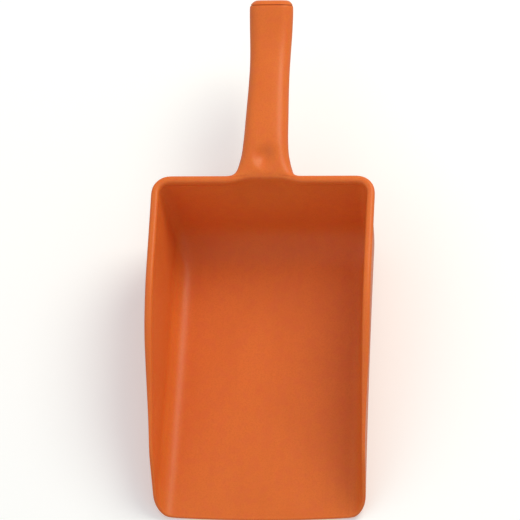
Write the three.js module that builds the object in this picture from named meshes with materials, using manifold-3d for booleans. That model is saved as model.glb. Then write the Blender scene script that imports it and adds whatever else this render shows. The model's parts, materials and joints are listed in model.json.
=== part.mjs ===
// Hand scoop in millimetres: a moulded bowl with a hollow handle, and the plug that closes the handle.
// X runs across the scoop, Y from the lip to the end of the handle, Z up. The floor's underside is z = 0.
// Shapes are drawn with y = 0 at the lip, and the finished group is moved so that its origin is the
// middle of the overall length.

import * as THREE from 'three';
import { mergeVertices } from 'three/addons/utils/BufferGeometryUtils.js';
import Module from 'manifold-3d';

const wasm = await Module();
wasm.setup();

const degrees = Math.PI / 180;

// Driving dimensions of the bowl.
const wall = 2.5;
const bowlLength = 230.4; // lip to the outside of the back wall, at rim height
const rimHeight = 80.5;
const baseHalfWidth = 72.4; // outside of the side walls, run down to z = 0, at the back
const lipFlare = 3; // how much wider than that each side is at the lip
const sideDraft = 3.9 * degrees;
const backLean = 9 * degrees;
const sideFillet = 13; // inside, between the floor and the side walls
const backFillet = 26; // inside, between the floor and the back wall
const cornerRadius = 8; // inside, between the side walls and the back wall
const lipBulge = 1.2; // how far the middle of the lip stands in front of its ends
const lipHalfWidth = 66;

// The rim line seen from the side: level at the back, then two slopes down to the lip.
const levelEnd = 133.7;
const slopeEnd = [36.6, 38.2];
const lipEdge = [0, 1.6];
const rimBend = 150;
const frontBend = 40;

// The bead along the rim, which tapers away towards the lip.
const beadOutward = 2.6;
const beadInward = 0.6;
const beadDepth = 5;
const beadStart = 38;
const beadFullFrom = 120;

// Driving dimensions of the handle.
const handleTop = 84.5;
const rootDrop = 3.2; // the handle's top comes down this much to meet the rim
const handleEnd = 363.4;
const waistAt = 316;
const waistHalfWidth = 15.5;
const endHalfWidth = 16.8;
const gripHalfWidth = 17; // where the root begins
const rootAt = 252;
const handleDepth = 21;
const gussetDepth = 16; // how much deeper the handle is where it meets the back wall
const sideTaper = 8 * degrees; // the handle's sides lean in towards its underside
const edgeRadius = 7;
const endRounding = 5.5;
const rootFillet = 12;
const curlStart = 314;
const curlRadius = 132; // the last stretch of the handle curls upwards
const handleWall = 2.8;
const boreStart = 262;

// The thumb dimple in the top of the handle's root.
const dimpleAt = 249;
const dimpleAcross = 20;
const dimpleDepth = 2.8;

// The plug in the handle's open end.
const plugPlate = 3.2;
const plugSpigot = 13;
const plugShell = 2;
const plugGap = 0.3;

// How far a cutting shape runs past what it cuts.
const clear = 20;

const moulded = new THREE.MeshStandardMaterial({ color: 0xdb6a24, roughness: 0.42, metalness: 0 });
const plugPlastic = new THREE.MeshStandardMaterial({ color: 0xd9661f, roughness: 0.45, metalness: 0 });

// A closed outline through straight-edged corners, each rounded by an arc of its own radius.
function roundedOutline(corners, segments = 6) {
  const points = [];
  corners.forEach(([x, y, radius = 0], i) => {
    const here = new THREE.Vector2(x, y);
    if (!radius) {
      points.push(here);
      return;
    }
    const before = corners[(i + corners.length - 1) % corners.length];
    const after = corners[(i + 1) % corners.length];
    const back = new THREE.Vector2(before[0], before[1]).sub(here).normalize();
    const onward = new THREE.Vector2(after[0], after[1]).sub(here).normalize();
    const half = Math.acos(THREE.MathUtils.clamp(back.dot(onward), -1, 1)) / 2;
    const centre = back.clone().add(onward).normalize().multiplyScalar(radius / Math.sin(half)).add(here);
    const start = back.clone().multiplyScalar(radius / Math.tan(half)).add(here).sub(centre);
    const turn = (Math.PI - 2 * half) * -Math.sign(back.cross(onward));
    for (let k = 0; k <= segments; k += 1) {
      points.push(start.clone().rotateAround(new THREE.Vector2(), (turn * k) / segments).add(centre));
    }
  });
  return points;
}

// A closed body through rings of equal point counts, with a flat cap on each end.
function loft(rings) {
  const count = rings[0].length;
  const positions = rings.flat().flatMap((point) => point.toArray());
  const faces = [];
  for (let level = 0; level < rings.length - 1; level += 1) {
    for (let i = 0; i < count; i += 1) {
      const a = level * count + i;
      const b = level * count + ((i + 1) % count);
      faces.push(a, b, b + count, a, b + count, a + count);
    }
  }
  const last = (rings.length - 1) * count;
  for (let i = 1; i < count - 1; i += 1) {
    faces.push(0, i + 1, i, last, last + i, last + i + 1);
  }
  const geometry = new THREE.BufferGeometry();
  geometry.setAttribute('position', new THREE.Float32BufferAttribute(positions, 3));
  geometry.setIndex(faces);
  return geometry;
}

function solid(geometry) {
  geometry.deleteAttribute('normal');
  geometry.deleteAttribute('uv');
  const merged = mergeVertices(geometry, 1e-4);
  const index = Array.from(merged.index.array);
  const position = merged.attributes.position;
  const corner = (i) => new THREE.Vector3().fromBufferAttribute(position, i);
  let volume = 0;
  for (let i = 0; i < index.length; i += 3) {
    volume += corner(index[i]).dot(corner(index[i + 1]).cross(corner(index[i + 2])));
  }
  if (volume < 0) index.reverse();
  return new wasm.Manifold(
    new wasm.Mesh({
      numProp: 3,
      vertProperties: new Float32Array(position.array),
      triVerts: new Uint32Array(index),
    }),
  );
}

// An outline in the Y-Z plane, run across the whole width of the scoop.
function acrossWidth(outline) {
  const width = 2 * (baseHalfWidth + clear + clear);
  const geometry = new THREE.ExtrudeGeometry(new THREE.Shape(outline), { depth: width, bevelEnabled: false });
  geometry.translate(0, 0, -width / 2);
  geometry.applyMatrix4(
    new THREE.Matrix4().makeBasis(
      new THREE.Vector3(0, 1, 0),
      new THREE.Vector3(0, 0, 1),
      new THREE.Vector3(1, 0, 0),
    ),
  );
  return solid(geometry);
}

// The bowl has two skins, each with its own floor height and its own distance inside the outer walls.
const outerSkin = { bottom: 0, inset: 0, radiusExtra: wall };
const innerSkin = { bottom: wall, inset: wall, radiusExtra: 0 };

// How far out a skin stands at height z from the line where its outer wall would meet z = 0.
function reach(z, lean, fillet, skin) {
  const radius = fillet + skin.radiusExtra;
  const wallLine = z * Math.tan(lean) - skin.inset / Math.cos(lean);
  const centreHeight = skin.bottom + radius;
  if (z >= centreHeight - radius * Math.sin(lean)) return wallLine;
  const centre = centreHeight * Math.tan(lean) - (skin.inset + radius) / Math.cos(lean);
  return centre + Math.sqrt(Math.max(0, radius ** 2 - (centreHeight - z) ** 2));
}

const backBase = bowlLength - rimHeight * Math.tan(backLean);

function sideBase(y) {
  return baseHalfWidth + lipFlare * Math.max(0, 1 - y / bowlLength) ** 2;
}

// A skin's plan outline at height z, run to the front past the lip. The spread moves it outwards, by an
// amount that may change along the bowl.
function planRing(z, skin, spread) {
  const sideSteps = 14;
  const cornerSteps = 6;
  const backSpread = spread(bowlLength);
  const back = backBase + reach(z, backLean, backFillet, skin) + backSpread;
  const sideReach = reach(z, sideDraft, sideFillet, skin);
  const radius = cornerRadius + skin.radiusExtra + Math.max(0, backSpread);
  const right = [];
  for (let i = 0; i < sideSteps; i += 1) {
    const y = THREE.MathUtils.lerp(-clear, back - radius, i / sideSteps);
    right.push(new THREE.Vector3(sideBase(y) + sideReach + spread(y), y, z));
  }
  const cornerX = sideBase(back - radius) + sideReach + backSpread - radius;
  for (let i = 0; i <= cornerSteps; i += 1) {
    const angle = ((Math.PI / 2) * i) / cornerSteps;
    const x = cornerX + radius * Math.cos(angle);
    right.push(new THREE.Vector3(x, back - radius + radius * Math.sin(angle), z));
  }
  const left = right.map((point) => new THREE.Vector3(-point.x, point.y, point.z)).reverse();
  return [...right, ...left];
}

function skinBlock(skin, top, spread = () => 0) {
  const filletSteps = 12;
  const radius = backFillet + skin.radiusExtra;
  const heights = [];
  for (let i = 0; i <= filletSteps; i += 1) {
    const angle = (Math.PI / 2 - backLean) * (i / filletSteps);
    heights.push(skin.bottom + radius * (1 - Math.cos(angle)));
  }
  heights.push(top);
  return solid(loft(heights.map((z) => planRing(z, skin, spread))));
}

// The rim line as an outline in Y-Z, lowered by a drop that may change along the bowl.
function rimLine(drop = () => 0) {
  const far = bowlLength + clear;
  const corners = [
    [far, rimHeight],
    [levelEnd, rimHeight, rimBend],
    [slopeEnd[0], slopeEnd[1], frontBend],
    lipEdge,
  ];
  return roundedOutline(corners, 8).map((point) => new THREE.Vector2(point.x, point.y - drop(point.x)));
}

function belowRim() {
  const far = bowlLength + clear;
  return acrossWidth([...rimLine(), new THREE.Vector2(lipEdge[0], -clear), new THREE.Vector2(far, -clear)]);
}

// The lip is slightly bowed in plan.
function behindLip() {
  const side = baseHalfWidth + 2 * clear;
  const ends = lipBulge * (side / lipHalfWidth) ** 2;
  const front = new THREE.QuadraticBezierCurve(
    new THREE.Vector2(-side, ends),
    new THREE.Vector2(0, -ends),
    new THREE.Vector2(side, ends),
  );
  const far = bowlLength + clear;
  const outline = [...front.getPoints(24), new THREE.Vector2(side, far), new THREE.Vector2(-side, far)];
  const height = rimHeight + 2 * clear;
  const shape = new THREE.Shape(outline);
  const geometry = new THREE.ExtrudeGeometry(shape, { depth: height, bevelEnabled: false });
  geometry.translate(0, 0, -clear);
  return solid(geometry);
}

// A band under the rim line, full at the back and running out to nothing towards the lip.
function beadBand() {
  const fullness = (y) => THREE.MathUtils.smoothstep(y, beadStart, beadFullFrom);
  const drop = (y) => beadDepth * fullness(y);
  const upper = rimLine().filter((point) => point.x > beadStart);
  const lower = rimLine(drop).filter((point) => point.x > beadStart);
  const band = acrossWidth([...upper, new THREE.Vector2(beadStart, upper.at(-1).y), ...lower.reverse()]);
  const outside = skinBlock(outerSkin, rimHeight + clear, (y) => beadOutward * fullness(y));
  const inside = skinBlock(innerSkin, rimHeight + 2 * clear, (y) => -beadInward * fullness(y));
  return outside.subtract(inside).intersect(band);
}

// The handle's half-width along its length: a waist in the grip, wider at the end and at the root.
function handleHalfWidth(y) {
  if (y > waistAt) {
    const t = THREE.MathUtils.smoothstep(y, waistAt, handleEnd - endRounding);
    return THREE.MathUtils.lerp(waistHalfWidth, endHalfWidth, t);
  }
  const t = THREE.MathUtils.smoothstep(waistAt - y, 0, waistAt - rootAt);
  return THREE.MathUtils.lerp(waistHalfWidth, gripHalfWidth, t);
}

// Depth below the top, growing into a gusset towards the back wall.
function handleDepthAt(y) {
  const t = THREE.MathUtils.clamp((rootAt + 18 - y) / (rootAt + 18 - bowlLength), 0, 1.3);
  return handleDepth + gussetDepth * t ** 2.4;
}

// Where a point of the handle's top line lies, and how steeply the handle climbs there.
function handleLine(y) {
  const run = Math.max(0, y - curlStart);
  const pitch = Math.asin(Math.min(1, run / curlRadius));
  const drop = rootDrop * (1 - THREE.MathUtils.smoothstep(y, bowlLength, rootAt + rootFillet));
  return { z: handleTop - drop + curlRadius * (1 - Math.cos(pitch)), pitch };
}

function quarterRound(distance, radius) {
  const inside = THREE.MathUtils.clamp(radius - distance, 0, radius);
  return radius - Math.sqrt(radius ** 2 - inside ** 2);
}

// One section of the handle square to its run, shrunk by an inset; the root flares out to the back wall.
function handleSection(y, inset, flared) {
  const { z, pitch } = handleLine(y);
  const rounding = quarterRound(handleEnd - y, endRounding);
  const shrink = inset + rounding;
  const depth = handleDepthAt(y);
  const topHalf = handleHalfWidth(y) - shrink;
  const bottomHalf = topHalf - (depth - 2 * shrink) * Math.tan(sideTaper);
  const radius = Math.max(1, edgeRadius - inset);
  const outline = roundedOutline([
    [-bottomHalf, shrink - depth, radius],
    [bottomHalf, shrink - depth, radius],
    [topHalf, -shrink, radius],
    [-topHalf, -shrink, radius],
  ]);
  return outline.map(({ x, y: below }) => {
    const height = z + below * Math.cos(pitch);
    const along = y - below * Math.sin(pitch);
    const wallAt = bowlLength - (rimHeight - Math.min(height, rimHeight)) * Math.tan(backLean);
    const flare = flared ? quarterRound(along - wallAt, rootFillet) : 0;
    return new THREE.Vector3(x + Math.sign(x) * flare, along, height);
  });
}

function handleBody(inset, start, end, steps, flared) {
  const rings = [];
  for (let i = 0; i <= steps; i += 1) {
    // Steps crowd towards both ends, where the shape turns fastest.
    const t = 0.5 - 0.5 * Math.cos((Math.PI * i) / steps);
    rings.push(handleSection(THREE.MathUtils.lerp(start, end, t), inset, flared));
  }
  return solid(loft(rings));
}

// A half space behind a plane square to the handle's run at y.
function beyond(y) {
  const { z, pitch } = handleLine(y);
  const size = 5 * handleDepth;
  const box = new THREE.BoxGeometry(size, size, size);
  box.translate(0, size / 2, 0);
  box.rotateX(pitch);
  box.translate(0, y, z);
  return solid(box);
}

function thumbDimple() {
  const half = dimpleAcross / 2;
  const radius = (half ** 2 + dimpleDepth ** 2) / (2 * dimpleDepth);
  const ball = new THREE.SphereGeometry(radius, 72, 48);
  ball.translate(0, dimpleAt, handleLine(dimpleAt).z + radius - dimpleDepth);
  return solid(ball);
}

function scoopBody() {
  const outside = skinBlock(outerSkin, rimHeight);
  const hollow = skinBlock(innerSkin, rimHeight + 2 * clear);
  const tub = outside.subtract(hollow).intersect(belowRim()).add(beadBand()).intersect(behindLip());
  const rootStart = backBase - 2;
  const handle = handleBody(0, rootStart, handleEnd, 30, true).subtract(hollow);
  const bore = handleBody(handleWall, boreStart, handleEnd, 22, false);
  const seam = handleEnd - plugPlate;
  return tub.add(handle.subtract(bore).subtract(thumbDimple()).subtract(beyond(seam - plugGap)));
}

// The plug: an end plate with a hollow spigot that fits the handle's bore.
function endPlug() {
  const seam = handleEnd - plugPlate;
  const plate = handleBody(0, seam - plugSpigot, handleEnd, 26, false).intersect(beyond(seam));
  const fit = handleWall + plugGap;
  const spigot = handleBody(fit, seam - plugSpigot, seam + plugPlate / 3, 8, false);
  const hollow = handleBody(fit + plugShell, seam - 2 * plugSpigot, seam, 8, false);
  return plate.add(spigot.subtract(hollow));
}

function named(name, body, material) {
  const { vertProperties, triVerts } = body.getMesh();
  const geometry = new THREE.BufferGeometry();
  geometry.setAttribute('position', new THREE.BufferAttribute(vertProperties, 3));
  geometry.setIndex(new THREE.BufferAttribute(triVerts, 1));
  const mesh = new THREE.Mesh(geometry, material);
  mesh.name = name;
  return mesh;
}

const group = new THREE.Group();
group.add(named('scoop_body', scoopBody(), moulded));
group.add(named('handle_end_plug', endPlug(), plugPlastic));

const extent = new THREE.Box3().setFromObject(group);
group.position.y = -(extent.min.y + extent.max.y) / 2;
group.updateMatrixWorld(true);

export default group;
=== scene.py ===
"""The looks of the hand scoop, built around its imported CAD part.

Shapes are worked out in millimetres, in the part's drawing frame: X across the scoop, Y from the lip
towards the end of the handle, Z up, with the floor's underside at z = 0. Every point is then moved into
the shared frame, in metres.
"""

import json
import math

import bpy
import numpy as np
from mathutils import Matrix, Vector

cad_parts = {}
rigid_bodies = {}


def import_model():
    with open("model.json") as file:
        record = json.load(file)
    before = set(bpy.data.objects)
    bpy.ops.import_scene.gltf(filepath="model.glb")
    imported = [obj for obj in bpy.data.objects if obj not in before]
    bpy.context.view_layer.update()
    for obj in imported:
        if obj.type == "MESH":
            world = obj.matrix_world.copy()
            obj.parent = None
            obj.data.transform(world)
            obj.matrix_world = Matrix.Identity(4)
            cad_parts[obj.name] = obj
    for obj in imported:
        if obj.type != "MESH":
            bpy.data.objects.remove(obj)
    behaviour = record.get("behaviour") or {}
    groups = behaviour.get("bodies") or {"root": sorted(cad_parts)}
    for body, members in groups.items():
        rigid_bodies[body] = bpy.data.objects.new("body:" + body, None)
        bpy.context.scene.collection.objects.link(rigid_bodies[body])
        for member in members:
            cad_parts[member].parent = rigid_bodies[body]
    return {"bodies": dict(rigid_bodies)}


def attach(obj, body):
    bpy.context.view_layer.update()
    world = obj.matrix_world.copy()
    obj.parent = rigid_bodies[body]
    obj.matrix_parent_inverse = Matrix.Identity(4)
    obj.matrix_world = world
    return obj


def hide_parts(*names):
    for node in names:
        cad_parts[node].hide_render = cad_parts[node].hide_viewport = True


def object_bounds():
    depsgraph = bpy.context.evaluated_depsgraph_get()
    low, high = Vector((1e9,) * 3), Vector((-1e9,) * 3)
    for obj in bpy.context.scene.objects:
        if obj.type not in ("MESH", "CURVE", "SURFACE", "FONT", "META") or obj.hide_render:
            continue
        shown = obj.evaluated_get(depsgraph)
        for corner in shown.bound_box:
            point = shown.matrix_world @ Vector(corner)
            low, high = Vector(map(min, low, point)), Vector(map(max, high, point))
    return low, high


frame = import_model()
cad_low, cad_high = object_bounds()

MM = 0.001
LIP_Y = cad_low.y

# The bowl.
WALL = 2.5
BOWL_LENGTH = 230.4
RIM_HEIGHT = 80.5
BASE_HALF_WIDTH = 72.4
LIP_FLARE = 3
SIDE_DRAFT = math.radians(3.9)
BACK_LEAN = math.radians(9)
SIDE_FILLET = 13
BACK_FILLET = 26
CORNER_RADIUS = 8
LIP_BULGE = 2.2
LIP_HALF_WIDTH = 66

# The rim line seen from the side, as points with the radius of the bend at each. The last is past the back.
RIM_CORNERS = [
    ((0, 1.6), 0),
    ((36.6, 38.2), 40),
    ((133.7, RIM_HEIGHT), 150),
    ((BOWL_LENGTH + 30, RIM_HEIGHT), 0),
]
BEAD_START = 38
BEAD_FULL_FROM = 120

# The handle.
HANDLE_TOP = 84.5
ROOT_DROP = 3.2
HANDLE_END = 363.4
WAIST_AT = 316
WAIST_HALF_WIDTH = 15.5
END_HALF_WIDTH = 16.8
GRIP_HALF_WIDTH = 17
ROOT_AT = 252
ROOT_WIDENING = 1.9
ROOT_WIDENING_FROM = 268
HANDLE_DEPTH = 21
GUSSET_DEPTH = 16
GUSSET_FROM = 270
GUSSET_POWER = 2.4
SIDE_TAPER = math.radians(8)
TAPER_GONE_AT = 242
TAPER_FADES_FROM = 252
END_ROUNDING = 5.5
ROOT_DROP_END = 262
CURL_START = 314
CURL_RADIUS = 132
HANDLE_WALL = 2.8
BORE_START = 262
BORE_END_ROUNDING = 1.5
CROWN = 1.8

# The radius of the section's edges, the least that it becomes inside the bore, and the most that it takes of
# the section's depth.
EDGE_RADIUS = 7
LEAST_EDGE_RADIUS = 1
EDGE_SHARE = 0.45

# Where the handle's plain sections start, behind the smooth root.
SECTION_START = 246

# The smooth lines from the rim and the back wall to the handle: the shares of the way that their arms cover.
FILLET_ARM = 0.6
TOP_LEAVING_ARM = 0.55
TOP_ARRIVING_ARM = 0.8
# The points down the root's side between which the lines change from the top's arms to the fillet's.
FILLET_FROM_POINT = 1
FILLET_FULL_POINT = 7

# The thumb dimple, and how far below the handle's top line the points that it sinks may be.
DIMPLE_AT = 247.5
DIMPLE_HALF_WIDTH = 10
DIMPLE_FRONT = 13.5
DIMPLE_REAR = 8
DIMPLE_DEPTH = 4.2
DIMPLE_SKIN = 4

# The plug in the handle's open end.
PLUG_PLATE = 3.2
PLUG_SPIGOT = 13
PLUG_SHELL = 2
PLUG_GAP = 0.3
PLUG_ROUNDING = 0.4
SEAM = HANDLE_END - PLUG_PLATE

# The rounded edges on both sides of the seam, as (distance from the seam, inset) pairs.
SEAM_EDGE = [(0.35, 0), (0.1, 0.1), (0, 0.35)]

# The handle's open end, from its outside round into the bore, as (distance before the end, inset) pairs.
OPEN_END = [
    (3, 0), (1.2, 0), *SEAM_EDGE,
    (0, HANDLE_WALL - 0.3), (0.3, HANDLE_WALL), (1.5, HANDLE_WALL), (8, HANDLE_WALL),
]

# The rounded rim of the plug's end face, as (distance before the face, inset) pairs.
PLATE_EDGE = [(0, 1.2), (0.02, 0), (0.15, 0), (0.4, 0), (0.8, 0), (1.3, 0), (1.9, 0), (2.5, 0)]

# How finely the mesh is divided.
FLOOR_HALF_COLUMNS = 20
SIDE_ROWS = 56
FLOOR_CORNER_ROWS = 3
FILLET_LEVELS = 9
WALL_LEVELS = 11
LEVELS = FILLET_LEVELS + WALL_LEVELS
BACK_STATIONS = 2 * FLOOR_HALF_COLUMNS + 2 * FLOOR_CORNER_ROWS
CORNER_STATIONS = 2 * FLOOR_CORNER_ROWS
FLOOR_ROWS = SIDE_ROWS + FLOOR_CORNER_ROWS
ROOT_STATIONS = 7
ROOT_LEVELS = 8
ROOT_LOOPS = 8
GRIP_RINGS = 32
BORE_RINGS = 12
SPIGOT_RINGS = 4
LIP_SAMPLES = 120
TANGENT_SPREAD = 4
SMOOTHING_ROUNDS = 150
END_RING_SHARES = (0.8, 0.5, 0.2)

# The band along the bowl's free edge that the skins leave to the edge's own rings.
EDGE_BAND = 7

# Where the grid over a side wall starts at the front, before the rim's first bend, and how far before the
# rear corners it starts to follow the back wall's lean.
FRONT_SETBACK = 5.4
LEAN_FADE = 40

# The edge all round the bowl, as (distance outwards, distance below the rim) pairs: where the wall ends
# in a plain rounded edge, and where it carries the full bead.
PLAIN_EDGE = [
    (0, 5.6), (0, 4.4), (0, 3.2), (0, 1.7), (0, 0.8), (0.12, 0.22), (0.5, 0), (1.25, 0), (2.0, 0),
    (2.38, 0.22), (2.5, 0.8), (2.5, 1.7), (2.5, 3.2), (2.5, 4.0), (2.5, 4.8), (2.5, 5.6), (2.5, 6.3),
]
BEADED_EDGE = [
    (0, 6.0), (-0.1, 5.3), (-0.5, 4.6), (-0.6, 3.2), (-0.6, 1.7), (-0.1, 0.55), (0.9, 0.05), (2.2, 0),
    (3.2, 0.1), (4.4, 0.8), (5.1, 2.4), (5.1, 3.9), (4.75, 4.8), (4.0, 5.0), (3.1, 5.1), (2.5, 5.7),
    (2.5, 6.4),
]
# The same where the handle grows out of the rim: no bead inside, and the wall stands further back.
ROOT_EDGE = [
    (3.4, 6.4), (3.4, 5.4), (3.42, 4.4), (3.48, 3.4), (3.6, 2.5), (3.8, 1.7), (4.1, 1.0), (4.5, 0.5),
    (5.0, 0.25), (5.2, 0.9), (5.3, 2.4), (5.2, 3.8), (4.8, 4.7), (4.0, 5.1), (3.1, 5.2), (2.5, 5.7),
    (2.5, 6.4),
]
# The point of that edge which the top of the handle grows from.
ROOT_TOP_STEP = 8
# How many stations the root's edge takes to become the rim's, and how far it lies below the rim.
ROOT_BLEND = 4.5
ROOT_SINK = 1.2
# How far the inside of the back wall stands back under the root, and over how many levels it gets there.
ROOT_SCOOP = 3.4
ROOT_SCOOP_LEVELS = 9


def lerp(low, high, share):
    return low + (high - low) * share


def smoothstep(value, start, end):
    share = min(1, max(0, (value - start) / (end - start)))
    return share * share * (3 - 2 * share)


def quarter_round(distance, radius):
    """How far a rounded edge has drawn in, at a distance from where it ends."""
    inside = min(radius, max(0, radius - distance))
    return radius - math.sqrt(radius**2 - inside**2)


def bend(before, here, after, radius):
    """The arc that rounds a corner: its centre, its start and the angle that it turns."""
    back, onward = (before - here).normalized(), (after - here).normalized()
    half = back.angle(onward) / 2
    centre = here + (back + onward).normalized() * radius / math.sin(half)
    start = here + back * radius / math.tan(half)
    sweep = (math.pi - 2 * half) * (1 if back.cross(onward) < 0 else -1)
    return centre, start, sweep


def arc_points(centre, start, sweep, pieces):
    turns = [Matrix.Rotation(sweep * i / pieces, 2) for i in range(pieces + 1)]
    return [centre + turn @ (start - centre) for turn in turns]


class Shell:
    """Named vertices and the faces between them."""

    def __init__(self):
        self.index = {}
        self.points = []
        self.faces = []

    def vertex(self, key, point):
        self.index[key] = len(self.points)
        self.points.append(point)

    def face(self, *keys):
        self.faces.append([self.index[key] for key in keys])

    def used(self):
        """The points that faces use, and the faces counted over those alone."""
        kept = sorted({i for face in self.faces for i in face})
        place = {old: new for new, old in enumerate(kept)}
        return [self.points[i] for i in kept], [[place[i] for i in face] for face in self.faces]

    def strip(self, one, other, closed=False):
        """Joins two lines of keys with quads."""
        count = len(one)
        for i in range(count if closed else count - 1):
            after = (i + 1) % count
            self.face(one[i], one[after], other[after], other[i])


# The walls' section: a floor fillet, and then a straight wall that leans outwards.


def along_section(distance, fillet, lean):
    """Where the inner skin is after a distance up from the floor: out, up and the angle it has turned."""
    turn = math.pi / 2 - lean
    angle = min(distance / fillet, turn)
    beyond = max(0, distance - fillet * turn)
    start = (WALL + fillet) * (math.tan(lean) - 1 / math.cos(lean))
    out = start + fillet * math.sin(angle) + beyond * math.sin(lean)
    up = WALL + fillet * (1 - math.cos(angle)) + beyond * math.cos(lean)
    return out, up, angle


def section_distance(height, fillet, lean):
    """How far up the section a height is."""
    turn = math.pi / 2 - lean
    top = WALL + fillet * (1 - math.cos(turn))
    if height < top:
        return fillet * math.acos(1 - max(0, height - WALL) / fillet)
    return fillet * turn + (height - top) / math.cos(lean)


def section_at(height, fillet, lean):
    return along_section(section_distance(height, fillet, lean), fillet, lean)


def side_base(y):
    return BASE_HALF_WIDTH + LIP_FLARE * max(0, 1 - y / BOWL_LENGTH) ** 2


SIDE_START = along_section(0, SIDE_FILLET, SIDE_DRAFT)[0]
FLOOR_SPAN = BASE_HALF_WIDTH + SIDE_START
BACK_BASE = BOWL_LENGTH - RIM_HEIGHT * math.tan(BACK_LEAN)


def corner_line(height):
    """Where the side walls end and the rounded rear corners begin."""
    return BACK_BASE + section_at(height, BACK_FILLET, BACK_LEAN)[0] - CORNER_RADIUS


def side_point(across, y, outward):
    """A point of the floor or a side wall: across is measured over the skin from the middle of the floor."""
    if across <= FLOOR_SPAN:
        x = (side_base(y) + SIDE_START) * across / FLOOR_SPAN
        return Vector((x, y, WALL - outward))
    out, up, angle = along_section(across - FLOOR_SPAN, SIDE_FILLET, SIDE_DRAFT)
    x = side_base(y) + out + outward * math.sin(angle)
    return Vector((x, y, up - outward * math.cos(angle)))


def back_point(station, height, outward):
    """A point of the back wall or its rounded corners, counted round from the right-hand corner."""
    mirrored = station > BACK_STATIONS / 2
    near = BACK_STATIONS - station if mirrored else station
    side_out, _, side_angle = section_at(height, SIDE_FILLET, SIDE_DRAFT)
    _, _, back_angle = section_at(height, BACK_FILLET, BACK_LEAN)
    y = corner_line(height)
    centre_x = side_base(y) + side_out - CORNER_RADIUS
    turn = math.pi / 2 * min(1, near / CORNER_STATIONS)
    middle = max(0, near - CORNER_STATIONS) / (BACK_STATIONS / 2 - CORNER_STATIONS)
    point = Vector((centre_x * (1 - middle), y, height))
    point += CORNER_RADIUS * Vector((math.cos(turn), math.sin(turn), 0))
    least_angle = 1e-4
    side_sine, back_sine = (math.sin(max(least_angle, angle)) for angle in (side_angle, back_angle))
    side_down = math.cos(turn) * math.cos(side_angle) * back_sine
    back_down = math.sin(turn) * math.cos(back_angle) * side_sine
    normal = Vector((
        math.cos(turn) * side_sine * back_sine,
        math.sin(turn) * side_sine * back_sine,
        -side_down - back_down,
    ))
    point += outward * normal.normalized()
    if mirrored:
        point.x = -point.x
    return point


# The rim line.


def rim_path(step=0.5):
    """The rim line from the lip to the back, as close points in Y-Z."""
    corners = [(Vector(point), radius) for point, radius in RIM_CORNERS]
    path = [corners[0][0]]
    for (before, _), (here, radius), (after, _) in zip(corners, corners[1:], corners[2:]):
        centre, start, sweep = bend(before, here, after, radius)
        path += arc_points(centre, start, sweep, int(abs(sweep) * radius / step))
    path.append(corners[-1][0])
    dense = []
    for one, other in zip(path, path[1:]):
        pieces = max(1, int((other - one).length / step))
        dense += [one.lerp(other, i / pieces) for i in range(pieces)]
    return dense


def lip_front(across):
    x = (side_base(0) + SIDE_START) * min(1, across / FLOOR_SPAN) + max(0, across - FLOOR_SPAN)
    return LIP_BULGE * (x / LIP_HALF_WIDTH) ** 2


class RimCurve:
    """The bowl's free edge, unrolled: across the skin against y, from the middle of the lip to the back."""

    def __init__(self):
        floor = [(across, lip_front(across)) for across in np.linspace(0, FLOOR_SPAN, LIP_SAMPLES)]
        wall = []
        for y, z in rim_path():
            if z > WALL + 0.02 and y < corner_line(RIM_HEIGHT):
                across = FLOOR_SPAN + section_distance(z, SIDE_FILLET, SIDE_DRAFT)
                wall.append((across, max(y, lip_front(across))))
        top = FLOOR_SPAN + section_distance(RIM_HEIGHT, SIDE_FILLET, SIDE_DRAFT)
        wall.append((top, corner_line(RIM_HEIGHT)))
        self.points = np.array(floor + wall)
        steps = np.linalg.norm(np.diff(self.points, axis=0), axis=1)
        self.lengths = np.concatenate([[0], np.cumsum(steps)])
        tangents = np.gradient(self.points, self.lengths, axis=0)
        width = 2 * TANGENT_SPREAD + 1
        window = np.ones(width) / width
        padded = np.pad(tangents, ((TANGENT_SPREAD, TANGENT_SPREAD), (0, 0)), mode="edge")
        self.tangents = np.stack([np.convolve(padded[:, i], window, "valid") for i in (0, 1)], axis=1)

    def length_at(self, column, value):
        return float(np.interp(value, self.points[:, column], self.lengths))

    def at(self, length, inside):
        """The point that far along the edge, moved that far in over the skin."""
        across, y = (np.interp(length, self.lengths, self.points[:, i]) for i in (0, 1))
        tangent = [np.interp(length, self.lengths, self.tangents[:, i]) for i in (0, 1)]
        size = math.hypot(*tangent)
        inward = (-tangent[1] / size, tangent[0] / size)
        rear = corner_line(RIM_HEIGHT)
        lean = smoothstep(y, rear - LEAN_FADE, rear) * math.sin(BACK_LEAN)
        return float(across + inside * inward[0]), float(y + inside * inward[1] - inside * lean)


RIM = RimCurve()
RIM_TOP = FLOOR_SPAN + section_distance(RIM_HEIGHT, SIDE_FILLET, SIDE_DRAFT)
FRONT_TOP = RIM.length_at(1, RIM_CORNERS[1][0][0] - FRONT_SETBACK)
FRONT_TURN = RIM.length_at(0, FLOOR_SPAN)
RIM_LENGTH = RIM.lengths[-1]


def front_length(column):
    """How far along the free edge a column of the grid meets the front."""
    if column <= FLOOR_HALF_COLUMNS:
        return RIM.length_at(0, FLOOR_SPAN * column / FLOOR_HALF_COLUMNS)
    return lerp(FRONT_TURN, FRONT_TOP, (column - FLOOR_HALF_COLUMNS) / LEVELS)


def rim_length(row):
    return lerp(FRONT_TOP, RIM_LENGTH, row / SIDE_ROWS)


def level_height(level):
    """The height of a level of the back wall's grid."""
    top = along_section(RIM_TOP - EDGE_BAND - FLOOR_SPAN, SIDE_FILLET, SIDE_DRAFT)[1]
    turn = math.pi / 2 - BACK_LEAN
    fillet_top = WALL + BACK_FILLET * (1 - math.cos(turn))
    if level <= FILLET_LEVELS:
        return WALL + BACK_FILLET * (1 - math.cos(turn * level / FILLET_LEVELS))
    return lerp(fillet_top, top, (level - FILLET_LEVELS) / WALL_LEVELS)


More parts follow.
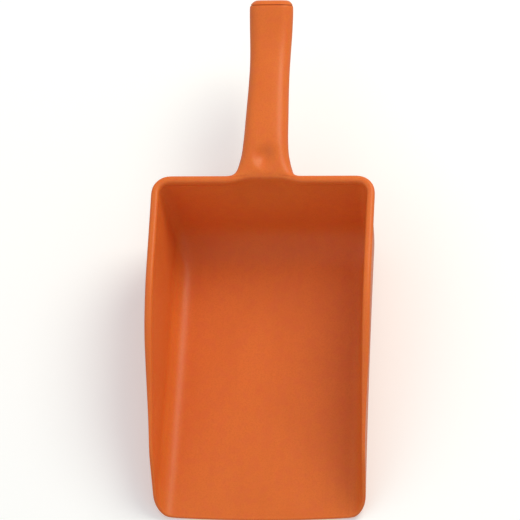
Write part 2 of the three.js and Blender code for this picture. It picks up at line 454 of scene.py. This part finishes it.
def side_grid():
    """Unrolled places (across, y) of half the floor and one side wall: rows to the back, columns up."""
    columns = FLOOR_HALF_COLUMNS + LEVELS
    front = np.array([RIM.at(front_length(i), EDGE_BAND) for i in range(columns + 1)])
    rim = np.array([RIM.at(rim_length(j), EDGE_BAND) for j in range(SIDE_ROWS + 1)])
    back = []
    for i in range(columns + 1):
        height = level_height(max(0, i - FLOOR_HALF_COLUMNS))
        up = section_distance(height, SIDE_FILLET, SIDE_DRAFT)
        back.append((FLOOR_SPAN * min(1, i / FLOOR_HALF_COLUMNS) + up, corner_line(height)))
    back = np.array(back)
    back[-1] = rim[-1]
    middle = np.linspace(front[0], back[0], SIDE_ROWS + 1)
    s = np.linspace(0, 1, SIDE_ROWS + 1)[:, None, None]
    t = (back[:, 0] / back[-1, 0])[None, :, None]
    grid = (1 - s) * front[None] + s * back[None] + (1 - t) * middle[:, None] + t * rim[:, None]
    grid -= (1 - s) * ((1 - t) * front[0] + t * front[-1]) + s * ((1 - t) * back[0] + t * back[-1])
    for _ in range(SMOOTHING_ROUNDS):
        around = grid[:-2, 1:-1] + grid[2:, 1:-1] + grid[1:-1, :-2] + grid[1:-1, 2:]
        grid[1:-1, 1:-1] = around / 4
    return grid


SIDE_GRID = side_grid()
STATIONS = 2 * SIDE_ROWS + BACK_STATIONS


def floor_station(station):
    """The floor grid's place (column, row) at the foot of a station round the walls."""
    last = STATIONS - station
    if station <= FLOOR_ROWS:
        return FLOOR_HALF_COLUMNS, station
    if last <= FLOOR_ROWS:
        return -FLOOR_HALF_COLUMNS, last
    return FLOOR_HALF_COLUMNS - (station - FLOOR_ROWS), FLOOR_ROWS


def wall_key(skin, station, level):
    if level == 0:
        return (skin, "floor", *floor_station(station))
    return (skin, "wall", station, level)


def mirrored_if(mirrored, point):
    return Vector((-point.x, point.y, point.z)) if mirrored else point


def wall_point(station, level, outward):
    last = STATIONS - station
    if min(station, last) < SIDE_ROWS:
        place = SIDE_GRID[min(station, last)][FLOOR_HALF_COLUMNS + level]
        return mirrored_if(last < station, side_point(*place, outward))
    return back_point(station - SIDE_ROWS, level_height(level), outward)


def floor_point(column, row, outward):
    if row <= SIDE_ROWS:
        return mirrored_if(column < 0, side_point(*SIDE_GRID[row][abs(column)], outward))
    # Behind the side walls' ends, the rows run back to the wall and bend out round the two rear corners.
    start = mirrored_if(column < 0, side_point(*SIDE_GRID[SIDE_ROWS][abs(column)], 0))
    back = back_point(FLOOR_CORNER_ROWS + FLOOR_HALF_COLUMNS - column, WALL, 0)
    share = (row - SIDE_ROWS) / FLOOR_CORNER_ROWS
    point = start.lerp(back, share)
    corner_start = side_point(*SIDE_GRID[SIDE_ROWS][FLOOR_HALF_COLUMNS], 0)
    corner_back = back_point(FLOOR_CORNER_ROWS, WALL, 0)
    bend = back_point(row - SIDE_ROWS, WALL, 0) - corner_start.lerp(corner_back, share)
    side = column / FLOOR_HALF_COLUMNS
    return Vector((point.x + bend.x * side, point.y + bend.y * abs(side), WALL - outward))


def root_scoop(station, level):
    """How far the inside of the back wall stands back below the handle's root."""
    rise = smoothstep(level, LEVELS - ROOT_SCOOP_LEVELS, LEVELS)
    return ROOT_SCOOP * rise * root_share(("rim", station))


def add_skin(shell, skin, outward):
    """One skin of the bowl: the floor's grid and the wall's grid round it."""
    columns = range(-FLOOR_HALF_COLUMNS, FLOOR_HALF_COLUMNS + 1)
    for column in columns:
        for row in range(FLOOR_ROWS + 1):
            shell.vertex((skin, "floor", column, row), floor_point(column, row, outward))
    for column in columns[:-1]:
        one = [(skin, "floor", column, row) for row in range(FLOOR_ROWS + 1)]
        other = [(skin, "floor", column + 1, row) for row in range(FLOOR_ROWS + 1)]
        shell.strip(one, other)
    for station in range(STATIONS + 1):
        for level in range(1, LEVELS + 1):
            back = root_scoop(station, level) if skin == "inner" else 0
            shell.vertex((skin, "wall", station, level), wall_point(station, level, outward + back))


ROOT_FIRST = STATIONS // 2 - ROOT_STATIONS
ROOT_LAST = STATIONS // 2 + ROOT_STATIONS


def in_root(station):
    """True for the wall faces that start at this station and give way to the handle."""
    return ROOT_FIRST <= station < ROOT_LAST


def add_wall_faces(shell, skin):
    for station in range(STATIONS):
        top = LEVELS - ROOT_LEVELS if skin == "outer" and in_root(station) else LEVELS
        one = [wall_key(skin, station, level) for level in range(top + 1)]
        other = [wall_key(skin, station + 1, level) for level in range(top + 1)]
        shell.strip(one, other)


def edge_stations():
    """The stations round the bowl's free edge: along the rim, then down the front and across the lip."""
    rim = [("rim", station) for station in range(STATIONS + 1)]
    left = [("front", -column) for column in range(FLOOR_HALF_COLUMNS + LEVELS - 1, 0, -1)]
    right = [("front", column) for column in range(0, FLOOR_HALF_COLUMNS + LEVELS)]
    return rim + left + right


def edge_base_key(skin, station):
    where, number = station
    if where == "rim":
        return wall_key(skin, number, LEVELS)
    if abs(number) <= FLOOR_HALF_COLUMNS:
        return (skin, "floor", number, 0)
    return wall_key(skin, 0 if number > 0 else STATIONS, abs(number) - FLOOR_HALF_COLUMNS)


def edge_point(station, outward, below):
    where, number = station
    if where == "rim" and SIDE_ROWS < number < STATIONS - SIDE_ROWS:
        height = RIM_HEIGHT - below * math.cos(SIDE_DRAFT) + outward * math.sin(BACK_LEAN)
        return back_point(number - SIDE_ROWS, height, outward)
    if where == "rim":
        mirrored = number > STATIONS / 2
        length = rim_length(min(number, STATIONS - number))
    else:
        mirrored = number < 0
        length = front_length(abs(number))
    across, y = RIM.at(length, below)
    upright = smoothstep(across, FLOOR_SPAN, FLOOR_SPAN + SIDE_FILLET) * math.tan(SIDE_DRAFT)
    return mirrored_if(mirrored, side_point(across + outward * upright, y, outward))


def bead_fullness(station):
    where, number = station
    if where == "front":
        return 0
    row = min(number, STATIONS - number)
    return 1 if row >= SIDE_ROWS else smoothstep(RIM.at(rim_length(row), 0)[1], BEAD_START, BEAD_FULL_FROM)


def root_share(station):
    """1 in the middle of the handle's root, fading to 0 where the root meets the rim."""
    where, number = station
    away = abs(number - STATIONS / 2) - (ROOT_STATIONS - ROOT_BLEND)
    return 0 if where == "front" else 1 - smoothstep(away, 0, ROOT_BLEND)


def edge_profile(station):
    """The edge's section at a station, as (distance outwards, distance below the rim) pairs."""
    full, root = bead_fullness(station), root_share(station)
    profile = []
    for plain, beaded, rolled in zip(PLAIN_EDGE, BEADED_EDGE, ROOT_EDGE):
        rim = [lerp(plain[i], beaded[i], full) for i in (0, 1)]
        outward, below = (lerp(rim[i], rolled[i], root) for i in (0, 1))
        profile.append((outward, below + ROOT_SINK * root * (1 - below / EDGE_BAND)))
    return profile


def add_edge(shell):
    """Closes the bowl's two skins all round its free edge, with the bead along the rim."""
    stations = edge_stations()
    for station in stations:
        for step, (outward, below) in enumerate(edge_profile(station)):
            shell.vertex(("edge", step, station), edge_point(station, outward, below))
    lines = [[edge_base_key("inner", station) for station in stations]]
    lines += [[("edge", step, station) for station in stations] for step in range(len(PLAIN_EDGE))]
    lines.append([edge_base_key("outer", station) for station in stations])
    for number, (one, other) in enumerate(zip(lines, lines[1:])):
        for i, station in enumerate(stations):
            after = (i + 1) % len(stations)
            if number <= ROOT_TOP_STEP or station[0] == "front" or not in_root(station[1]):
                shell.face(one[i], one[after], other[after], other[i])


# The handle.


def handle_half_width(y):
    if y > WAIST_AT:
        return lerp(WAIST_HALF_WIDTH, END_HALF_WIDTH, smoothstep(y, WAIST_AT, HANDLE_END - END_ROUNDING))
    widening = ROOT_WIDENING * smoothstep(ROOT_WIDENING_FROM - y, 0, ROOT_WIDENING_FROM - BOWL_LENGTH)
    grip = lerp(WAIST_HALF_WIDTH, GRIP_HALF_WIDTH, smoothstep(WAIST_AT - y, 0, WAIST_AT - ROOT_AT))
    return grip + widening


def handle_depth(y):
    share = max(0, (GUSSET_FROM - y) / (GUSSET_FROM - BOWL_LENGTH))
    return HANDLE_DEPTH + GUSSET_DEPTH * share**GUSSET_POWER


def handle_line(y):
    """The height of the handle's top line, and how steeply it climbs."""
    pitch = math.asin(min(1, max(0, y - CURL_START) / CURL_RADIUS))
    drop = ROOT_DROP * (1 - smoothstep(y, BOWL_LENGTH, ROOT_DROP_END))
    return HANDLE_TOP - drop + CURL_RADIUS * (1 - math.cos(pitch)), pitch


def rounded_quarters(corners, radius, pieces=8):
    """A rounded outline as its four sides, each from the middle of one corner's arc to the next."""
    corners = [Vector(corner) for corner in corners]
    bends = [bend(corners[i - 1], corners[i], corners[(i + 1) % 4], radius) for i in range(4)]
    arcs = [arc_points(*turn, pieces) for turn in bends]
    middle = pieces // 2
    return [arcs[i][middle:] + arcs[(i + 1) % 4][:middle + 1] for i in range(4)]


def resampled(line, shares):
    """Points at those shares of a line's length."""
    line = np.array([list(point) for point in line])
    lengths = np.concatenate([[0], np.cumsum(np.linalg.norm(np.diff(line, axis=0), axis=1))])
    return [tuple(np.interp(share * lengths[-1], lengths, line[:, i]) for i in (0, 1)) for share in shares]


def handle_ring(y, inset, side_shares):
    """One section of the handle square to its run, from its top right corner over the top and round."""
    z, pitch = handle_line(y)
    shrink = inset + quarter_round(HANDLE_END - y, END_ROUNDING)
    depth = handle_depth(y)
    top_half = handle_half_width(y) - shrink
    taper = SIDE_TAPER * smoothstep(y, TAPER_GONE_AT, TAPER_FADES_FROM)
    bottom_half = top_half - (depth - 2 * shrink) * math.tan(taper)
    corners = [
        (top_half, -shrink),
        (-top_half, -shrink),
        (-bottom_half, shrink - depth),
        (bottom_half, shrink - depth),
    ]
    radius = min(max(LEAST_EDGE_RADIUS, EDGE_RADIUS - inset), (depth - 2 * shrink) * EDGE_SHARE)
    top, left, bottom, right = rounded_quarters(corners, radius)
    even = [i / (2 * ROOT_STATIONS) for i in range(2 * ROOT_STATIONS)]
    up_shares = [1 - share for share in reversed(side_shares)]
    outline = resampled(top, even) + resampled(left, side_shares[:-1])
    outline += resampled(bottom, even) + resampled(right, up_shares[:-1])
    ring = []
    for x, below in outline:
        above_middle = max(0, 1 + 2 * below / depth)
        below -= CROWN * above_middle * (x / handle_half_width(y)) ** 2
        point = Vector((x, y - below * math.sin(pitch), z + below * math.cos(pitch)))
        ring.append(point)
    return ring


def dimpled(point):
    """Sinks a point of the handle's top into the thumb dimple."""
    behind = point.y - DIMPLE_AT
    away = math.hypot(point.x / DIMPLE_HALF_WIDTH, behind / (DIMPLE_REAR if behind > 0 else DIMPLE_FRONT))
    if away >= 1 or point.z < handle_line(DIMPLE_AT)[0] - DIMPLE_SKIN:
        return point
    return point - Vector((0, 0, DIMPLE_DEPTH * (1 - away**2) ** 2))


def root_outline():
    """The keys round the opening that the handle grows from: over its top, down, underneath and up."""
    edge_steps = range(ROOT_TOP_STEP + 1, len(PLAIN_EDGE))
    low = LEVELS - ROOT_LEVELS
    over = [("edge", ROOT_TOP_STEP, ("rim", station)) for station in range(ROOT_FIRST, ROOT_LAST + 1)]
    down = [("edge", step, ("rim", ROOT_LAST)) for step in edge_steps]
    down += [wall_key("outer", ROOT_LAST, level) for level in range(LEVELS, low, -1)]
    under = [wall_key("outer", station, low) for station in range(ROOT_LAST, ROOT_FIRST - 1, -1)]
    up = [wall_key("outer", ROOT_FIRST, level) for level in range(low + 1, LEVELS + 1)]
    up += [("edge", step, ("rim", ROOT_FIRST)) for step in reversed(edge_steps)]
    return over, down, under, up


def bezier(start, start_arm, end_arm, end, share):
    rest = 1 - share
    return (
        start * rest**3 + start_arm * (3 * rest**2 * share)
        + end_arm * (3 * rest * share**2) + end * share**3
    )


def line_shares(shell, opening):
    """Where the handle's lines run down its side: between even spacing and the spacing round the opening."""
    over, down, under, _ = opening
    points = [shell.points[shell.index[key]] for key in over[-1:] + down + under[:1]]
    lengths = np.concatenate([[0], np.cumsum([(b - a).length for a, b in zip(points, points[1:])])])
    even = np.linspace(0, 1, len(lengths))
    return list(0.5 * lengths / lengths[-1] + 0.5 * even)


def round_opening(opening, side):
    """A value for each point of the opening: 0 over the top, the given ones down the sides, 1 underneath."""
    over, _, under, _ = opening
    return [0] * len(over) + side + [1] * len(under) + side[::-1]


def root_rounding(point):
    """0 near the top of the root's side, 1 further down."""
    return smoothstep(point, FILLET_FROM_POINT, FILLET_FULL_POINT)


def root_curves(shell, opening, side_shares):
    """The smooth lines from the opening to the handle's first section, each as a Bezier's four points."""
    over, down, under, up = opening
    points = [shell.points[shell.index[key]] for key in over + down + under + up]
    first = handle_ring(SECTION_START, 0, side_shares)
    second = handle_ring(SECTION_START + 1, 0, side_shares)
    upward = Vector((0, math.sin(BACK_LEAN), math.cos(BACK_LEAN)))
    climb = round_opening(opening, [smoothstep(i, 0, len(down)) for i in range(len(down))])
    roundness = round_opening(opening, [root_rounding(i) for i in range(len(down))])
    curves = []
    for i, (start, end) in enumerate(zip(points, first)):
        # Each line leaves over the rim or up the wall, and arrives along the handle.
        inward = Vector((-math.copysign(1, start.x), 0, 0))
        onward = (second[i] - end).normalized()
        gap = end - start
        leaving = inward * gap.dot(inward) + upward * max(0, gap.dot(upward)) * climb[i]
        arriving = onward * gap.dot(onward)
        leaving *= lerp(TOP_LEAVING_ARM, FILLET_ARM, roundness[i])
        arriving *= lerp(TOP_ARRIVING_ARM, FILLET_ARM, roundness[i])
        curves.append((start, start + leaving, end - arriving, end))
    return curves


def grip_sections():
    """The handle's sections as (y, inset) pairs: out to its open end, round it, and back down the bore."""
    end = SEAM - PLUG_GAP
    outside, inside = end - OPEN_END[0][0], end - OPEN_END[-1][0]
    sections = [(y, 0) for y in np.linspace(SECTION_START, outside, GRIP_RINGS)[1:-1]]
    sections += [(end - before, inset) for before, inset in OPEN_END]
    sections += [(y, HANDLE_WALL) for y in np.linspace(inside, BORE_START, BORE_RINGS)[1:]]
    return sections + [(BORE_START, HANDLE_WALL + BORE_END_ROUNDING)]


def add_rings(shell, name, sections, side_shares):
    """Adds the handle's outline at each (y, inset) pair, and gives the keys of each."""
    loops = []
    for number, (y, inset) in enumerate(sections):
        ring = handle_ring(y, inset, side_shares)
        loops.append([(name, number, i) for i in range(len(ring))])
        for key, point in zip(loops[-1], ring):
            shell.vertex(key, point)
    return loops


def add_handle(shell):
    """Grows the hollow handle out of the opening in the back of the bowl."""
    opening = root_outline()
    side_shares = line_shares(shell, opening)
    curves = root_curves(shell, opening, side_shares)
    loops = [sum(opening, [])]
    for step in range(1, ROOT_LOOPS + 1):
        loops.append([("root", step, i) for i in range(len(curves))])
        for key, curve in zip(loops[-1], curves):
            shell.vertex(key, bezier(*curve, step / ROOT_LOOPS))
    loops += add_rings(shell, "handle", grip_sections(), side_shares)
    for one, other in zip(loops, loops[1:]):
        shell.strip(one, other, closed=True)
    close_end(shell, loops[-1], "bore_end")
    behind_wall = BOWL_LENGTH + 4
    for number, point in enumerate(shell.points):
        if point.y > behind_wall:
            shell.points[number] = dimpled(point)
    return side_shares


def close_end(shell, loop, name):
    """Closes a ring with smaller rings and a fan of triangles in the middle."""
    points = [shell.points[shell.index[key]] for key in loop]
    centre = sum(points, Vector()) / len(points)
    for share in END_RING_SHARES:
        smaller = [(name, share, i) for i in range(len(loop))]
        for key, point in zip(smaller, points):
            shell.vertex(key, centre.lerp(point, share))
        shell.strip(loop, smaller, closed=True)
        loop = smaller
    shell.vertex(name, centre)
    for i, one in enumerate(loop):
        shell.face(one, loop[(i + 1) % len(loop)], name)


def plug_sections():
    """The plug's sections as (y, inset) pairs: round its plate, down its spigot, and back up the inside."""
    outside = HANDLE_WALL + PLUG_GAP
    inside = outside + PLUG_SHELL
    start = SEAM - PLUG_SPIGOT
    straight_from, straight_to = SEAM - 3, start + 0.6
    sections = [(HANDLE_END - before, inset) for before, inset in PLATE_EDGE]
    sections += [(SEAM + away, inset) for away, inset in SEAM_EDGE]
    sections += [(SEAM, outside - PLUG_ROUNDING), (SEAM - PLUG_ROUNDING, outside)]
    sections += [(y, outside) for y in np.linspace(straight_from, straight_to, SPIGOT_RINGS)]
    sections += [(start, outside + PLUG_ROUNDING), (start, inside - PLUG_ROUNDING), (start + 0.5, inside)]
    return sections + [(straight_from, inside), (SEAM - 0.3, inside + 0.3), (SEAM, inside + 0.8)]


def add_plug(shell, side_shares):
    """The plug: a rounded end plate with a hollow spigot behind it."""
    loops = add_rings(shell, "plug", plug_sections(), side_shares)
    for one, other in zip(loops, loops[1:]):
        shell.strip(one, other, closed=True)
    close_end(shell, loops[0], "end_face")
    close_end(shell, loops[-1], "plate_inside")


def piece(name, shell, material, node):
    """Turns a shell into a smooth object that stands for a CAD node."""
    mesh = bpy.data.meshes.new(name)
    into_frame = Vector((0, LIP_Y, 0))
    points, faces = shell.used()
    mesh.from_pydata([point * MM + into_frame for point in points], [], faces)
    obj = bpy.data.objects.new(name, mesh)
    bpy.context.scene.collection.objects.link(obj)
    bpy.context.view_layer.objects.active = obj
    bpy.ops.object.select_all(action="DESELECT")
    obj.select_set(True)
    bpy.ops.object.mode_set(mode="EDIT")
    bpy.ops.mesh.select_all(action="SELECT")
    bpy.ops.mesh.normals_make_consistent(inside=False)
    bpy.ops.object.mode_set(mode="OBJECT")
    mesh.shade_smooth()
    mesh.materials.append(material)
    smooth = obj.modifiers.new("smooth", "SUBSURF")
    smooth.levels = 1
    smooth.render_levels = 1
    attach(obj, BODY)
    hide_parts(node)


# Materials. Lengths in them are in metres, as the object coordinates are.


class Graph:
    """Short ways to add and join a material's nodes."""

    def __init__(self, name):
        self.material = bpy.data.materials.new(name)
        self.material.use_nodes = True
        self.tree = self.material.node_tree
        self.shader = self.tree.nodes["Principled BSDF"]
        self.place = self.tree.nodes.new("ShaderNodeTexCoord").outputs["Object"]

    def node(self, kind, inputs=None, **settings):
        node = self.tree.nodes.new(kind)
        for key, value in settings.items():
            setattr(node, key, value)
        for socket, value in (inputs or {}).items():
            self.put(node.inputs[socket], value)
        return node

    def put(self, socket, value):
        if isinstance(value, bpy.types.NodeSocket):
            self.tree.links.new(value, socket)
        else:
            socket.default_value = value

    def noise(self, size, detail=2, stretch=(1, 1, 1)):
        """Noise whose features are about that size, longer along the axes that the stretch names."""
        scaled = self.node("ShaderNodeVectorMath", {0: self.place, 1: [1 / (size * s) for s in stretch]})
        scaled.operation = "MULTIPLY"
        inputs = {"Vector": scaled.outputs[0], "Scale": 1, "Detail": detail}
        return self.node("ShaderNodeTexNoise", inputs).outputs["Fac"]

    def ramp(self, value, start, end):
        """0 below start, 1 above end, smooth between."""
        inputs = {"Value": value, "From Min": start, "From Max": end}
        return self.node("ShaderNodeMapRange", inputs, interpolation_type="SMOOTHSTEP").outputs["Result"]

    def maths(self, operation, one, other):
        return self.node("ShaderNodeMath", {0: one, 1: other}, operation=operation).outputs[0]

    def mix(self, share, one, other):
        node = self.node("ShaderNodeMix", data_type="RGBA")
        for socket, value in ((node.inputs[0], share), (node.inputs[6], one), (node.inputs[7], other)):
            self.put(socket, value)
        return node.outputs[2]


def tinted(base, red, green, blue):
    """A colour with each of its channels scaled."""
    return (base[0] * red, base[1] * green, base[2] * blue, 1)


def scuff_pattern(graph):
    """Fine scratches along the scoop, in patches."""
    scratches = graph.ramp(graph.noise(size=0.0005, stretch=(1, 60, 1)), start=0.66, end=0.74)
    patches = graph.ramp(graph.noise(size=0.018, detail=3), start=0.48, end=0.68)
    return graph.maths("MULTIPLY", scratches, patches)


def worn_edge_pattern(graph):
    """The outer edges, where they have been rubbed."""
    pointiness = graph.node("ShaderNodeNewGeometry").outputs["Pointiness"]
    convex = graph.ramp(pointiness, start=0.53, end=0.6)
    rubbed = graph.ramp(graph.noise(size=0.004, detail=4), start=0.4, end=0.65)
    return graph.maths("MULTIPLY", convex, rubbed)


def pigment_colour(graph, base, speckle):
    """The plastic's own colour, varied by each pattern at its strength, towards that pattern's colour."""
    darker = tinted(base, 0.86, 0.78, 0.7)
    redder = tinted(base, 0.93, 0.74, 1.2)
    clouds = graph.ramp(graph.noise(size=0.05, detail=3), start=0.3, end=0.75)
    flow = graph.ramp(graph.noise(size=0.006, stretch=(1, 9, 1)), start=0.45, end=0.75)
    mottle = graph.ramp(graph.noise(size=0.006, detail=3), start=0.42, end=0.66)
    patterns = [(clouds, 0.35, darker), (flow, 0.18, darker), (speckle, 0.6, darker), (mottle, 0.3, redder)]
    colour = (*base, 1)
    for pattern, strength, tint in patterns:
        colour = graph.mix(graph.maths("MULTIPLY", pattern, strength), colour, tint)
    return colour


def moulded_plastic(name, base):
    """Satin polypropylene, slightly translucent and grained, with flow marks, scuffs and worn edges."""
    graph = Graph(name)
    speckle = graph.ramp(graph.noise(size=0.0011), start=0.35, end=0.8)
    scuffs = scuff_pattern(graph)
    scuff_strength, edge_strength = 0.35, 0.5
    worn_scuffs = graph.maths("MULTIPLY", scuffs, scuff_strength)
    worn_edges = graph.maths("MULTIPLY", worn_edge_pattern(graph), edge_strength)
    worn = graph.maths("MAXIMUM", worn_scuffs, worn_edges)
    paler = tinted(base, 1.08, 1.25, 2.4)
    colour = graph.mix(worn, pigment_colour(graph, base, speckle), paler)
    graph.put(graph.shader.inputs["Base Color"], colour)

    plain_roughness, speckle_roughness, worn_roughness = 0.34, 0.08, 0.3
    roughness = graph.maths("ADD", graph.maths("MULTIPLY", speckle, speckle_roughness), plain_roughness)
    roughness = graph.maths("ADD", roughness, graph.maths("MULTIPLY", worn, worn_roughness))
    graph.put(graph.shader.inputs["Roughness"], roughness)

    scratch_depth = 0.6
    grain = graph.noise(size=0.0006)
    relief = graph.maths("SUBTRACT", grain, graph.maths("MULTIPLY", scuffs, scratch_depth))
    bump = graph.node("ShaderNodeBump", {"Height": relief, "Strength": 0.5, "Distance": 0.0001})
    graph.put(graph.shader.inputs["Normal"], bump.outputs["Normal"])

    graph.shader.inputs["Subsurface Weight"].default_value = 0.3
    graph.shader.inputs["Subsurface Radius"].default_value = (1, 0.28, 0.08)
    graph.shader.inputs["Subsurface Scale"].default_value = 0.003
    graph.shader.inputs["IOR"].default_value = 1.49
    graph.shader.inputs["Specular IOR Level"].default_value = 0.22
    return graph.material


def light(name, direction, distance, size, watts, colour):
    """A round lamp that shines at the scoop from that direction. Distance and size are in metres."""
    data = bpy.data.lights.new(name, "AREA")
    data.shape = "DISK"
    data.size = size
    data.energy = watts
    data.color = colour
    obj = bpy.data.objects.new(name, data)
    bpy.context.scene.collection.objects.link(obj)
    towards = Vector(direction).normalized()
    obj.location = towards * distance
    obj.rotation_mode = "QUATERNION"
    obj.rotation_quaternion = towards.to_track_quat("Z", "Y")
    return obj


def camera():
    """A long lens looking down into the bowl from in front of the lip, a little from the right."""
    azimuth, elevation, roll = math.radians(19.1), math.radians(65.6), math.radians(-0.15)
    distance = 6000
    aim_left, aim_up = 6.06, 5.8
    pixels_per_mm = 1.4006
    picture_width = 520
    level = math.cos(elevation)
    back = Vector((math.sin(azimuth) * level, -math.cos(azimuth) * level, math.sin(elevation)))
    across = Vector((1, 0, 0))
    right = (across - across.dot(back) * back).normalized()
    up = back.cross(right)
    right, up = right * math.cos(roll) + up * math.sin(roll), up * math.cos(roll) - right * math.sin(roll)
    aim = Vector((0, 182, 30)) - aim_left * right + aim_up * up
    data = bpy.data.cameras.new("camera")
    data.sensor_width = 36
    data.lens = data.sensor_width * pixels_per_mm * distance / picture_width
    data.clip_end = 20
    obj = bpy.data.objects.new("camera", data)
    bpy.context.scene.collection.objects.link(obj)
    place = (aim + back * distance) * MM + Vector((0, LIP_Y, 0))
    obj.matrix_world = Matrix.Translation(place) @ Matrix((right, up, back)).transposed().to_4x4()
    bpy.context.scene.camera = obj


def floor():
    """A pale floor that glows a little, to be as white as a studio's, and can be seen through from below."""
    half = 40
    lowered = 0.0005
    corners = [(-half, -half, 0), (half, -half, 0), (half, half, 0), (-half, half, 0)]
    mesh = bpy.data.meshes.new("pale_floor")
    mesh.from_pydata(corners, [], [(0, 1, 2, 3)])
    obj = bpy.data.objects.new("pale_floor", mesh)
    bpy.context.scene.collection.objects.link(obj)
    graph = Graph("pale_floor")
    graph.shader.inputs["Base Color"].default_value = (0.9, 0.9, 0.9, 1)
    graph.shader.inputs["Roughness"].default_value = 0.9
    graph.shader.inputs["Emission Color"].default_value = (0.88, 0.95, 1, 1)
    graph.shader.inputs["Emission Strength"].default_value = 0.19
    below = graph.node("ShaderNodeNewGeometry").outputs["Backfacing"]
    seen_through = graph.node("ShaderNodeBsdfTransparent").outputs["BSDF"]
    inputs = {0: below, 1: graph.shader.outputs["BSDF"], 2: seen_through}
    mixed = graph.node("ShaderNodeMixShader", inputs).outputs["Shader"]
    graph.put(graph.tree.nodes["Material Output"].inputs["Surface"], mixed)
    mesh.materials.append(graph.material)
    obj.location.z = -lowered
    # The floor shows the shadow, but doesn't shade the underside that rests on it.
    obj.visible_diffuse = False
    obj.visible_glossy = False
    obj.visible_shadow = False


BODY = next(iter(frame["bodies"]))

body_shell = Shell()
add_skin(body_shell, "inner", 0)
add_skin(body_shell, "outer", WALL)
add_wall_faces(body_shell, "inner")
add_wall_faces(body_shell, "outer")
add_edge(body_shell)
handle_shares = add_handle(body_shell)
plug_shell = Shell()
add_plug(plug_shell, handle_shares)

body_plastic = moulded_plastic("orange_polypropylene", (0.78, 0.182, 0.033))
plug_plastic = moulded_plastic("plug_polypropylene", (0.76, 0.176, 0.032))
piece("scoop_body_moulding", body_shell, body_plastic, "scoop_body")
piece("handle_end_plug_moulding", plug_shell, plug_plastic, "handle_end_plug")

camera()
floor()
light("key", direction=(0.55, 0.6, 0.95), distance=1.6, size=0.9, watts=13, colour=(1, 0.97, 0.82))
fill = light("fill", direction=(-0.75, -0.35, 0.8), distance=1.8, size=1.8, watts=2.7, colour=(1, 1, 1))
fill.data.specular_factor = 0
world = bpy.data.worlds.new("studio")
bpy.context.scene.world = world
world.use_nodes = True
world.node_tree.nodes["Background"].inputs["Color"].default_value = (1, 1, 1, 1)
world.node_tree.nodes["Background"].inputs["Strength"].default_value = 0.58
bpy.context.scene.view_settings.view_transform = "Standard"
